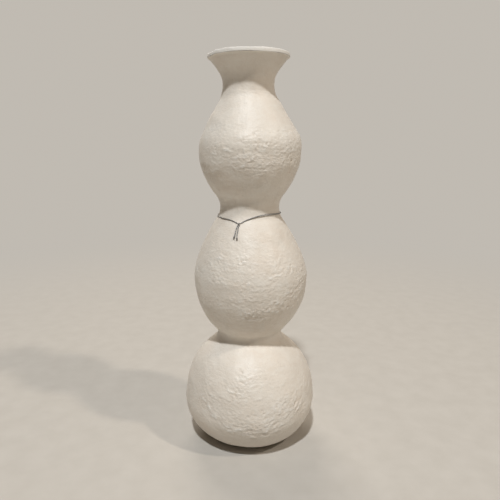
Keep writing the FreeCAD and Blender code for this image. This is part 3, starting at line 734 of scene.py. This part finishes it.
def add_node(tree, kind, inputs, result=0, **settings):
    """One output of a new node, with its settings made and its inputs linked or set."""
    node = tree.nodes.new("ShaderNode" + kind)
    for name, value in settings.items():
        setattr(node, name, value)
    for socket, value in inputs.items():
        if isinstance(value, bpy.types.NodeSocket):
            tree.links.new(value, node.inputs[socket])
        else:
            node.inputs[socket].default_value = value
    return node.outputs[result]


def set_surface(tree, shader, output="OutputMaterial"):
    tree.links.new(shader, tree.nodes.new("ShaderNode" + output).inputs["Surface"])


def new_material(name):
    """A material, its emptied tree, and the place on the object there."""
    material = bpy.data.materials.new(name)
    tree = new_tree(material)
    return material, tree, add_node(tree, "TexCoord", {}, "Object")


def add_noise(tree, coordinates, scale, detail, rough, stretch=(1, 1, 1)):
    placed = add_node(tree, "Mapping", {"Vector": coordinates, "Scale": stretch})
    return add_node(tree, "TexNoise", {"Vector": placed, "Scale": scale, "Detail": detail,
                                       "Roughness": rough}, "Fac")


def add_ramp(tree, value, stops):
    """A colour that follows a value through stops of (value, colour)."""
    ramp_node = tree.nodes.new("ShaderNodeValToRGB")
    elements = ramp_node.color_ramp.elements
    while len(elements) < len(stops):
        elements.new(0.5)
    for element, (position, colour) in zip(elements, stops):
        element.position = position
        element.color = (*colour, 1)
    tree.links.new(value, ramp_node.inputs["Fac"])
    return ramp_node.outputs["Color"]


def add_share(tree, value, stops):
    """A share that follows a value through stops of (value, share)."""
    return add_ramp(tree, value, [(position, (share, share, share)) for position, share in stops])


def add_tint(tree, body, value, stops, colour):
    """The body's colour, mixed with another by the share that the stops give to a value."""
    share = add_share(tree, value, stops)
    return add_node(tree, "Mix", {MIX_SHARE: share, MIX_FIRST: body, MIX_SECOND: (*colour, 1)},
                    MIX_RESULT, data_type="RGBA")


def add_noise_tints(tree, body, position, tints):
    """The body's colour with tints that each follow a noise."""
    for layer, stops, colour in tints:
        body = add_tint(tree, body, add_noise(tree, position, *layer), stops, colour)
    return body


def add_math(tree, operation, *values):
    return add_node(tree, "Math", dict(enumerate(values)), operation=operation)


def add_bump(tree, height, distance, strength, **previous):
    """A bump over the surface, or over a previous bump that is given as Normal."""
    return add_node(tree, "Bump", {"Height": height, "Distance": distance, "Strength": strength,
                                   **previous})


# The slip's own mottle, and the tints over it: noise scale, detail, roughness and stretch, then
# stops of (noise, share), and the tint's colour.
SLIP_MOTTLE = (14, 5, 0.6)
SLIP_TONES = [(0.32, (0.715, 0.64, 0.55)), (0.5, (0.755, 0.69, 0.605)), (0.68, (0.79, 0.74, 0.665))]
PALE_STREAKS = ((75, 6, 0.62, (1, 1, 2.6)), [(0.38, 0), (0.72, 0.45)], (0.82, 0.785, 0.72))
BRUSHED_CLAY = ((130, 3, 0.55, (1, 1, 0.16)), [(0.45, 0), (0.75, 0.3)], (0.7, 0.62, 0.53))
WARM_CLOUDS = ((27, 3, 0.5), [(0.5, 0), (0.75, 0.3)], (0.71, 0.595, 0.485))
SPECKS = ((620, 2, 0.5), [(0.24, 0.5), (0.33, 0)], (0.44, 0.36, 0.28))
# The tints that follow the tone of the relief, painted shade in creases and a painted highlight on
# crests and the rim: times what, stops, and colour.
CREASE_PAINTED_SHADE = (-1.1, [(0.1, 0), (0.7, 0.34)], (0.57, 0.475, 0.37))
CREST_PAINTED_HIGHLIGHT = (1.3, [(0.08, 0), (0.5, 0.55), (0.9, 0.9)], (0.87, 0.845, 0.795))
# The shader's roughness follows a noise between two values, and falls where the clay is rough.
SHINE_NOISE = (90, 3, 0.5)
SHADER_ROUGHNESS = (0.4, 0.6)
ROUGH_CLAY_GLOSS = -0.13
CLAY_SPECULAR = 0.48
# The bumps that are finer than the mesh: noise, then depth and strength.
CRINKLE = ((240, 4, 0.55, (1, 1, 1.8)), 1 * MM, 0.8)
CRINKLE_SMOOTH_SHARE = 0.25
CRINKLE_ROUGH_SHARE = 0.8
FINER_BUMPS = [((460, 3, 0.55, (1, 1, 1.3)), 0.34 * MM, 0.6),
               ((1100, 3, 0.6), 0.12 * MM, 0.5)]
PINHOLES = ((430, 1, 0.4), 0.18 * MM, 0.7)
PINHOLE_STOPS = [(0.22, 0), (0.3, 1)]


def clay_colour(tree, position):
    """Cream slip: mottled, streaked and brushed, specked, with painted shade in creases and a painted
    highlight on crests.
    """
    body = add_ramp(tree, add_noise(tree, position, *SLIP_MOTTLE), SLIP_TONES)
    body = add_noise_tints(tree, body, position, (PALE_STREAKS, BRUSHED_CLAY, WARM_CLOUDS))
    # The tone carries painted shade for creases and a painted highlight for crests and the rim.
    tone = add_node(tree, "Attribute", {}, "Fac", attribute_name="tone")
    for gain, stops, colour in (CREASE_PAINTED_SHADE, CREST_PAINTED_HIGHLIGHT):
        body = add_tint(tree, body, add_math(tree, "MULTIPLY", tone, gain), stops, colour)
    return add_noise_tints(tree, body, position, (SPECKS,))


def clay_gloss(tree, position, rough):
    """The shader's roughness: matte, and a little glossier where the clay is rough."""
    least, most = SHADER_ROUGHNESS
    shine = add_noise(tree, position, *SHINE_NOISE)
    gloss = add_node(tree, "MapRange", {"Value": shine, "To Min": least, "To Max": most})
    return add_math(tree, "MULTIPLY_ADD", rough, ROUGH_CLAY_GLOSS, gloss)


def clay_bumps(tree, position, rough, rough_scale):
    """Crinkles that deepen where the clay is rough, then pebbles, grain and pinholes."""
    layer, distance, strength = CRINKLE
    share = add_math(tree, "MULTIPLY_ADD", rough, CRINKLE_ROUGH_SHARE, CRINKLE_SMOOTH_SHARE)
    crinkle = add_math(tree, "MULTIPLY", add_noise(tree, position, *layer), share)
    normal = add_bump(tree, crinkle, distance * rough_scale, strength)
    for layer, distance, strength in FINER_BUMPS:
        height = add_noise(tree, position, *layer)
        normal = add_bump(tree, height, distance, strength, Normal=normal)
    layer, distance, strength = PINHOLES
    holes = add_share(tree, add_noise(tree, position, *layer), PINHOLE_STOPS)
    return add_bump(tree, holes, distance, strength, Normal=normal)


def clay_material(name, rough_scale):
    """Matte cream slip over coarse clay."""
    material, tree, position = new_material(name)
    rough = add_node(tree, "Attribute", {}, "Fac", attribute_name="rough")
    set_surface(tree, add_node(tree, "BsdfPrincipled", {
        "Base Color": clay_colour(tree, position),
        "Roughness": clay_gloss(tree, position, rough),
        "Normal": clay_bumps(tree, position, rough, rough_scale),
        "Specular IOR Level": CLAY_SPECULAR}))
    return material


# The metals, which are spun fibres with dull places, and blackened tips with wear: their noise, its
# tones, tints, the bump's depth and strength, and the shader's metallic share and roughness.
METALS = {
    "silver_cord": (
        (5200, 3, 0.6),
        [(0.3, (0.1, 0.098, 0.096)), (0.52, (0.22, 0.218, 0.216)), (0.75, (0.52, 0.52, 0.525))],
        [((160, 2, 0.5), [(0.45, 0), (0.7, 0.6)], (0.13, 0.125, 0.12))],
        0.05 * MM, 0.6, 0.75, 0.38),
    "dark_tip": (
        (1500, 4, 0.6),
        [(0.4, (0.05, 0.045, 0.042)), (0.62, (0.13, 0.12, 0.115)), (0.8, (0.34, 0.32, 0.3))],
        [], 0.03 * MM, 0.5, 0.8, 0.42),
}


def metal_material(name):
    layer, tones, tints, depth, strength, metallic, roughness = METALS[name]
    material, tree, position = new_material(name)
    grain = add_noise(tree, position, *layer)
    set_surface(tree, add_node(tree, "BsdfPrincipled", {
        "Base Color": add_noise_tints(tree, add_ramp(tree, grain, tones), position, tints),
        "Normal": add_bump(tree, grain, depth, strength),
        "Metallic": metallic,
        "Roughness": roughness}))
    return material


ROUGH_CLAY_SCALE = 1
SMOOTH_CLAY_SCALE = 0.7
MATERIALS = {"fired_clay": clay_material("fired_clay", ROUGH_CLAY_SCALE),
             "joining_clay": clay_material("joining_clay", SMOOTH_CLAY_SCALE),
             "cord": metal_material("silver_cord"),
             "cord_tip": metal_material("dark_tip")}
SLOTS = {row["node"]: row["material_slot"] for row in frame["record"]["subparts"]}
for name in CLAY_NODES:
    finish_piece(clay_piece(name), name)


# The cord. Its route is the source's: degrees round the vase from the knot, and levels below the
# upper waist in shares of the hollow round there.

CORD_DIAMETER = 1.2 * MM
CORD_CLEARANCE = 0.3 * MM
KNOT_WRAP_RADIUS = 0.8 * MM
KNOT_TURN_SPACING = 0.95 * MM
KNOT_ANGLE = -17
KNOT_GAP = 0.3 * MM
TIP_DIAMETER = 1.9 * MM
TIP_LENGTH = 2.4 * MM
LOOP_ROUTE_SHARES = [
    (-11, 0.52), (-23, 0.47), (-39, 0.452), (-56, 0.444), (-73, 0.432), (-90, 0.416), (-107, 0.396),
    (-124, 0.376), (-141, 0.356), (-158, 0.336), (-175, 0.32), (-192, 0.308), (-209, 0.3),
    (-226, 0.296), (-243, 0.294), (-260, 0.288), (-276, 0.272), (-292, 0.24), (-307, 0.228),
    (-321, 0.244), (-333, 0.312), (-344, 0.412), (-352.5, 0.51),
]
KNOT_DROP_SHARE = 0.63
RIGHT_TAIL_SHARES = [(0.8, 0.704), (-0.2, 0.82), (0.1, 0.968), (-0.4, 1.128), (0.5, 1.28)]
LEFT_TAIL_SHARES = [(-1.5, 0.704), (-2.6, 0.816), (-3.3, 0.952), (-3, 1.1), (-3.4, 1.232)]
UPPER_WAIST = WAIST_LEVELS[1]
# the arcs of the middle gourd's shoulder and of the hollow above it
SHOULDER_CENTRE, SHOULDER_ROUND, _ = ARCS[6]
WAIST_CENTRE, WAIST_ROUND, _ = ARCS[7]
cord_radius = CORD_DIAMETER / 2
standoff = cord_radius + CORD_CLEARANCE


def out_from_clay(level, distance):
    """The radius at which a point lies this far off the clay, on or below the upper waist."""
    toward = direction(SHOULDER_CENTRE, WAIST_CENTRE)
    seam = SHOULDER_CENTRE + toward * (SHOULDER_ROUND + distance)
    if level > seam[1]:
        reach = WAIST_ROUND - distance
        return WAIST_CENTRE[0] - sqrt(reach ** 2 - (level - WAIST_CENTRE[1]) ** 2)
    reach = SHOULDER_ROUND + distance
    return SHOULDER_CENTRE[0] + sqrt(reach ** 2 - (level - SHOULDER_CENTRE[1]) ** 2)


def place(turn, drop_share, distance, spread=0):
    """A point of the route; spread is the turn to its neighbours, which pulls it outwards."""
    level = UPPER_WAIST - drop_share * WAIST_ROUND
    out = out_from_clay(level, distance) / cos(radians(spread) / 2)
    angle = radians(KNOT_ANGLE + turn)
    return Vector((out * sin(angle), -out * cos(angle), level))


knot_centre = place(0, KNOT_DROP_SHARE, KNOT_WRAP_RADIUS + cord_radius + CORD_CLEARANCE)
knot_reach = degrees((KNOT_TURN_SPACING / 2 + cord_radius + KNOT_GAP)
                          / hypot(knot_centre.x, knot_centre.y))


def loop_route():
    """The loop's points, once round from the right of the knot to its left, off the clay."""
    route = [(-knot_reach, KNOT_DROP_SHARE), *LOOP_ROUTE_SHARES, (knot_reach - 360, KNOT_DROP_SHARE)]
    points = [place(*route[0], standoff)]
    for before, (turn, drop), after in zip(route, route[1:], route[2:]):
        spread = max(before[0] - turn, turn - after[0])
        points.append(place(turn, drop, standoff, spread))
    return points + [place(*route[-1], standoff)]


def tail_points(shares):
    """A tail's points; the last one is further off the clay, to leave room for the tip."""
    lifts = [standoff] * (len(shares) - 1) + [TIP_DIAMETER / 2 + CORD_CLEARANCE]
    return [place(turn, drop, lift) for (turn, drop), lift in zip(shares, lifts)]


def line_of(points, name):
    """The smooth line of a route: its points are the control points of one spline."""
    curve = bpy.data.curves.new(name + "_line", "CURVE")
    curve.dimensions = "3D"
    curve.resolution_u = 24
    spline = curve.splines.new("NURBS")
    spline.points.add(len(points) - 1)
    for item, where in zip(spline.points, points):
        item.co = (*where, 1)
    spline.order_u = 3
    spline.use_endpoint_u = True
    holder = add_object(name + "_line", curve)
    bpy.context.view_layer.update()
    evaluated = holder.evaluated_get(bpy.context.evaluated_depsgraph_get())
    mesh = bpy.data.meshes.new_from_object(evaluated)
    line = np.array([tuple(v.co) for v in mesh.vertices])
    bpy.data.objects.remove(holder)
    bpy.data.curves.remove(curve)
    bpy.data.meshes.remove(mesh)
    return line


def evenly(line, step):
    """The line's points at an even spacing."""
    length = lengths_along(line)
    return read_at(line, length, np.linspace(0, length[-1], max(4, int(length[-1] / step) + 1)))


def travelling_frames(line):
    """Two sideways directions at each point that turn as little as possible."""
    ahead = np.gradient(line, axis=0)
    ahead /= np.linalg.norm(ahead, axis=1, keepdims=True)
    side = np.array(START_SIDE)
    sides = []
    for facing in ahead:
        side = side - facing * (side @ facing)
        side /= np.linalg.norm(side)
        sides.append(side.copy())
    return np.array(sides), np.cross(ahead, sides)


# Any direction that no stretch of cord runs along.
START_SIDE = (0.1, 0.2, 1)
# The plies, how long one turn of them is, and the grooves between them, in shares of the radius.
PLY_COUNT = 3
PLY_LAY = 2.6 * MM
GROOVE_DEPTH = 0.2
GROOVE_POWER = 0.8
CORD_STEP = 0.16 * MM
KNOT_STEP = 0.12 * MM
CORD_AROUND = 21


def tube_faces(count, around):
    """The faces of a closed tube of count rings."""
    rings = [ring_faces(i * around, (i + 1) * around, around) for i in range(count - 1)]
    return np.concatenate(rings).tolist() + end_faces((count - 1) * around, around)


def twisted_tube(line, radius, step=CORD_STEP):
    """Points and faces of a cord of twisted plies, and the evenly spaced line through it."""
    line = evenly(line, step)
    side, other = travelling_frames(line)
    turn = np.arange(CORD_AROUND) * (2 * pi / CORD_AROUND)
    angle = turn[None, :] - (lengths_along(line) * 2 * pi / PLY_LAY)[:, None]
    lobes = np.abs(np.cos(PLY_COUNT * turn / 2))
    reach = radius * (1 - GROOVE_DEPTH + GROOVE_DEPTH * lobes ** GROOVE_POWER)
    points = (line[:, None, :] + side[:, None, :] * (np.cos(angle) * reach)[:, :, None]
              + other[:, None, :] * (np.sin(angle) * reach)[:, :, None])
    return points.reshape(-1, 3).tolist(), tube_faces(len(line), CORD_AROUND), line


def cord_piece(points, node):
    """A stretch of cord along a route, dressed as its node, and the fine line through it."""
    places, faces, path = twisted_tube(line_of(points, node), cord_radius)
    piece = mesh_object(node + "_twist", places, faces)
    finish_piece(piece, node)
    return piece, path


loop_points = loop_route()
loop, loop_path = cord_piece(loop_points, "tie_cord")
tail_routes = {"left": tail_points(LEFT_TAIL_SHARES), "right": tail_points(RIGHT_TAIL_SHARES)}
tails = {side: cord_piece(points, side + "_tail")[0] for side, points in tail_routes.items()}

# The knot: its strands are shares of the cord's thickness, and the straight one's points are along
# and up from the middle, in millimetres.
KNOT_TURNS = 2.3
KNOT_POINTS = 46
KNOT_START = -150
KNOT_SPREAD = 1.25
WOUND_SHARE = 0.93
CORE_SHARE = 0.9
CORE_POINTS = [(-1.25, 0.1), (-0.5, -0.05), (0.4, 0.1), (1.25, -0.05)]


def knot_piece():
    """The pulled-tight knot: turns of cord wound round a strand that runs through them."""
    facing = Matrix.Rotation(radians(KNOT_ANGLE), 3, "Z")
    wound = []
    for share in np.linspace(0, 1, KNOT_POINTS):
        turn = radians(KNOT_START) + share * KNOT_TURNS * 2 * pi
        x = (share - 0.5) * KNOT_TURN_SPACING * KNOT_SPREAD
        local = Vector((x, -cos(turn) * KNOT_WRAP_RADIUS, sin(turn) * KNOT_WRAP_RADIUS))
        wound.append(knot_centre + facing @ local)
    core = [knot_centre + facing @ Vector((x, 0, z)) * MM for x, z in CORE_POINTS]
    places, faces, _ = twisted_tube(np.array(wound), cord_radius * WOUND_SHARE, KNOT_STEP)
    more, more_faces, _ = twisted_tube(line_of(core, "knot_core"), cord_radius * CORE_SHARE, KNOT_STEP)
    faces += [[corner + len(places) for corner in face] for face in more_faces]
    return mesh_object("tie_knot_twist", places + more, faces)


knot = knot_piece()
finish_piece(knot, "tie_knot")

# The crimped sleeve: shares of its length and radius, and flats that are deepest at the pinches.
TIP_PROFILE = [(0, 0.62), (0.02, 0.86), (0.06, 0.97), (0.12, 1), (0.18, 0.93), (0.26, 0.8),
               (0.33, 0.77), (0.4, 0.84), (0.47, 0.93), (0.54, 0.93), (0.61, 0.82), (0.68, 0.76),
               (0.75, 0.82), (0.83, 0.95), (0.9, 1), (0.955, 0.95), (0.99, 0.78), (1, 0.45)]
TIP_AROUND = 28
TIP_FLATS = 4
TIP_FLAT_DEPTH = 0.1
TIP_PINCH = 0.24


def tip_piece(name, points):
    """A crimped sleeve: a short tube pinched twice, with a rolled mouth where the cord enters."""
    start, before = points[-1], points[-2]
    rotation = (start - before).normalized().to_track_quat("Z", "Y").to_matrix()
    places = []
    for share, reach in TIP_PROFILE:
        for j in range(TIP_AROUND):
            turn = j * 2 * pi / TIP_AROUND
            flat = (1 - reach) / TIP_PINCH * (0.5 + 0.5 * cos(TIP_FLATS * turn))
            r = TIP_DIAMETER / 2 * reach * (1 - TIP_FLAT_DEPTH * flat)
            local = Vector((r * cos(turn), r * sin(turn), share * TIP_LENGTH))
            places.append(start + rotation @ local)
    return mesh_object(name, places, tube_faces(len(TIP_PROFILE), TIP_AROUND))


tips = {}
for side, points in tail_routes.items():
    tips[side] = tip_piece(side + "_tip_crimp", points)
    finish_piece(tips[side], side + "_tip")


# Floor, light and camera.

BACKDROP = (0.53, 0.495, 0.445)
# The floor passes into the backdrop between two distances from the vase.
FLOOR_RADIUS = 6
FLOOR_DROP = 0.2 * MM
FLOOR_AROUND = 96
FLOOR_GRAIN = (35, 3, 0.5)
FLOOR_TONES = [(0.3, (0.5, 0.473, 0.43)), (0.7, (0.53, 0.503, 0.46))]
FADE_START = 0.35
FADE_END = 1.5
FILL_COLOUR = (1, 0.78, 0.56)
FILL_STRENGTH = 0.065
# Each lamp: name, azimuth (0 is the front), elevation, distance, width, power and colour.
LAMPS = [
    ("front_lamp", -9, 61, 6, 0.34, 272, (0.94, 0.972, 1)),
    ("side_lamp", 62, 47, 6, 0.38, 100, (1, 0.89, 0.77)),
    ("back_lamp", 192, 38, 4, 2.4, 72, (1, 0.91, 0.81)),
]
LAMP_TARGET = Vector((0, 0, 0.27))
CAMERA_PLACE = (0.0003, -0.6528, 0.4016)
CAMERA_DIP = 12.19
CAMERA_LENS = 36


def add_seen(tree):
    """1 for rays that show the backdrop: from the camera, and by way of gloss or glass."""
    seen = 0
    for kind in ("Camera", "Glossy", "Transmission"):
        seen = add_math(tree, "MAXIMUM", seen, add_node(tree, "LightPath", {}, f"Is {kind} Ray"))
    return seen


def floor_material():
    """Pale and plain near the vase, and the same as the backdrop further out."""
    material, tree, position = new_material("pale_floor")
    plain = add_node(tree, "BsdfPrincipled", {
        "Base Color": add_ramp(tree, add_noise(tree, position, *FLOOR_GRAIN), FLOOR_TONES),
        "Roughness": 0.8,
        "Specular IOR Level": 0.2})
    away = add_node(tree, "VectorMath", {0: position}, "Value", operation="LENGTH")
    fade = add_node(tree, "MapRange", {"Value": away, "From Min": FADE_START, "From Max": FADE_END},
                    interpolation_type="SMOOTHSTEP")
    share = add_math(tree, "MULTIPLY", fade, add_seen(tree))
    glow = add_node(tree, "Emission", {"Color": (*BACKDROP, 1)})
    set_surface(tree, add_node(tree, "MixShader", {0: share, 1: plain, 2: glow}))
    return material


def make_floor():
    """A wide disc just under the foot."""
    turns = [i * 2 * pi / FLOOR_AROUND for i in range(FLOOR_AROUND)]
    places = [(FLOOR_RADIUS * cos(turn), FLOOR_RADIUS * sin(turn), 0) for turn in turns]
    faces = [(0, 1 + i, 1 + (i + 1) % FLOOR_AROUND) for i in range(FLOOR_AROUND)]
    floor = mesh_object("floor", [(0, 0, 0)] + places, faces)
    floor.location = (0, 0, -FLOOR_DROP)
    floor.data.materials.append(floor_material())


def make_world():
    """A weak warm fill, which rays that show the backdrop see as the backdrop's colour."""
    world = bpy.data.worlds.new("studio")
    tree = new_tree(world)
    fill = add_node(tree, "Background", {"Color": (*FILL_COLOUR, 1), "Strength": FILL_STRENGTH})
    shown = add_node(tree, "Background", {"Color": (*BACKDROP, 1), "Strength": 1})
    mixed = add_node(tree, "MixShader", {0: add_seen(tree), 1: fill, 2: shown})
    set_surface(tree, mixed, "OutputWorld")
    scene.world = world


def add_lamp(name, azimuth, elevation, distance, width, power, colour):
    """A round soft lamp that looks at the middle of the vase."""
    a, e = radians(azimuth), radians(elevation)
    back = Vector((sin(a) * cos(e), -cos(a) * cos(e), sin(e)))
    data = bpy.data.lights.new(name, "AREA")
    data.shape = "DISK"
    data.size = width
    data.energy = power
    data.color = colour
    lamp = add_object(name, data)
    lamp.location = LAMP_TARGET + back * distance
    lamp.rotation_mode = "QUATERNION"
    lamp.rotation_quaternion = (-back).to_track_quat("-Z", "Y")


make_floor()
make_world()
for lamp in LAMPS:
    add_lamp(*lamp)

camera_data = bpy.data.cameras.new("camera")
camera_data.lens = CAMERA_LENS
camera_data.sensor_width = 36
camera = add_object("camera", camera_data)
camera.location = CAMERA_PLACE
camera.rotation_euler = (radians(90 - CAMERA_DIP), 0, 0)
scene.camera = camera
scene.view_settings.view_transform = "Standard"
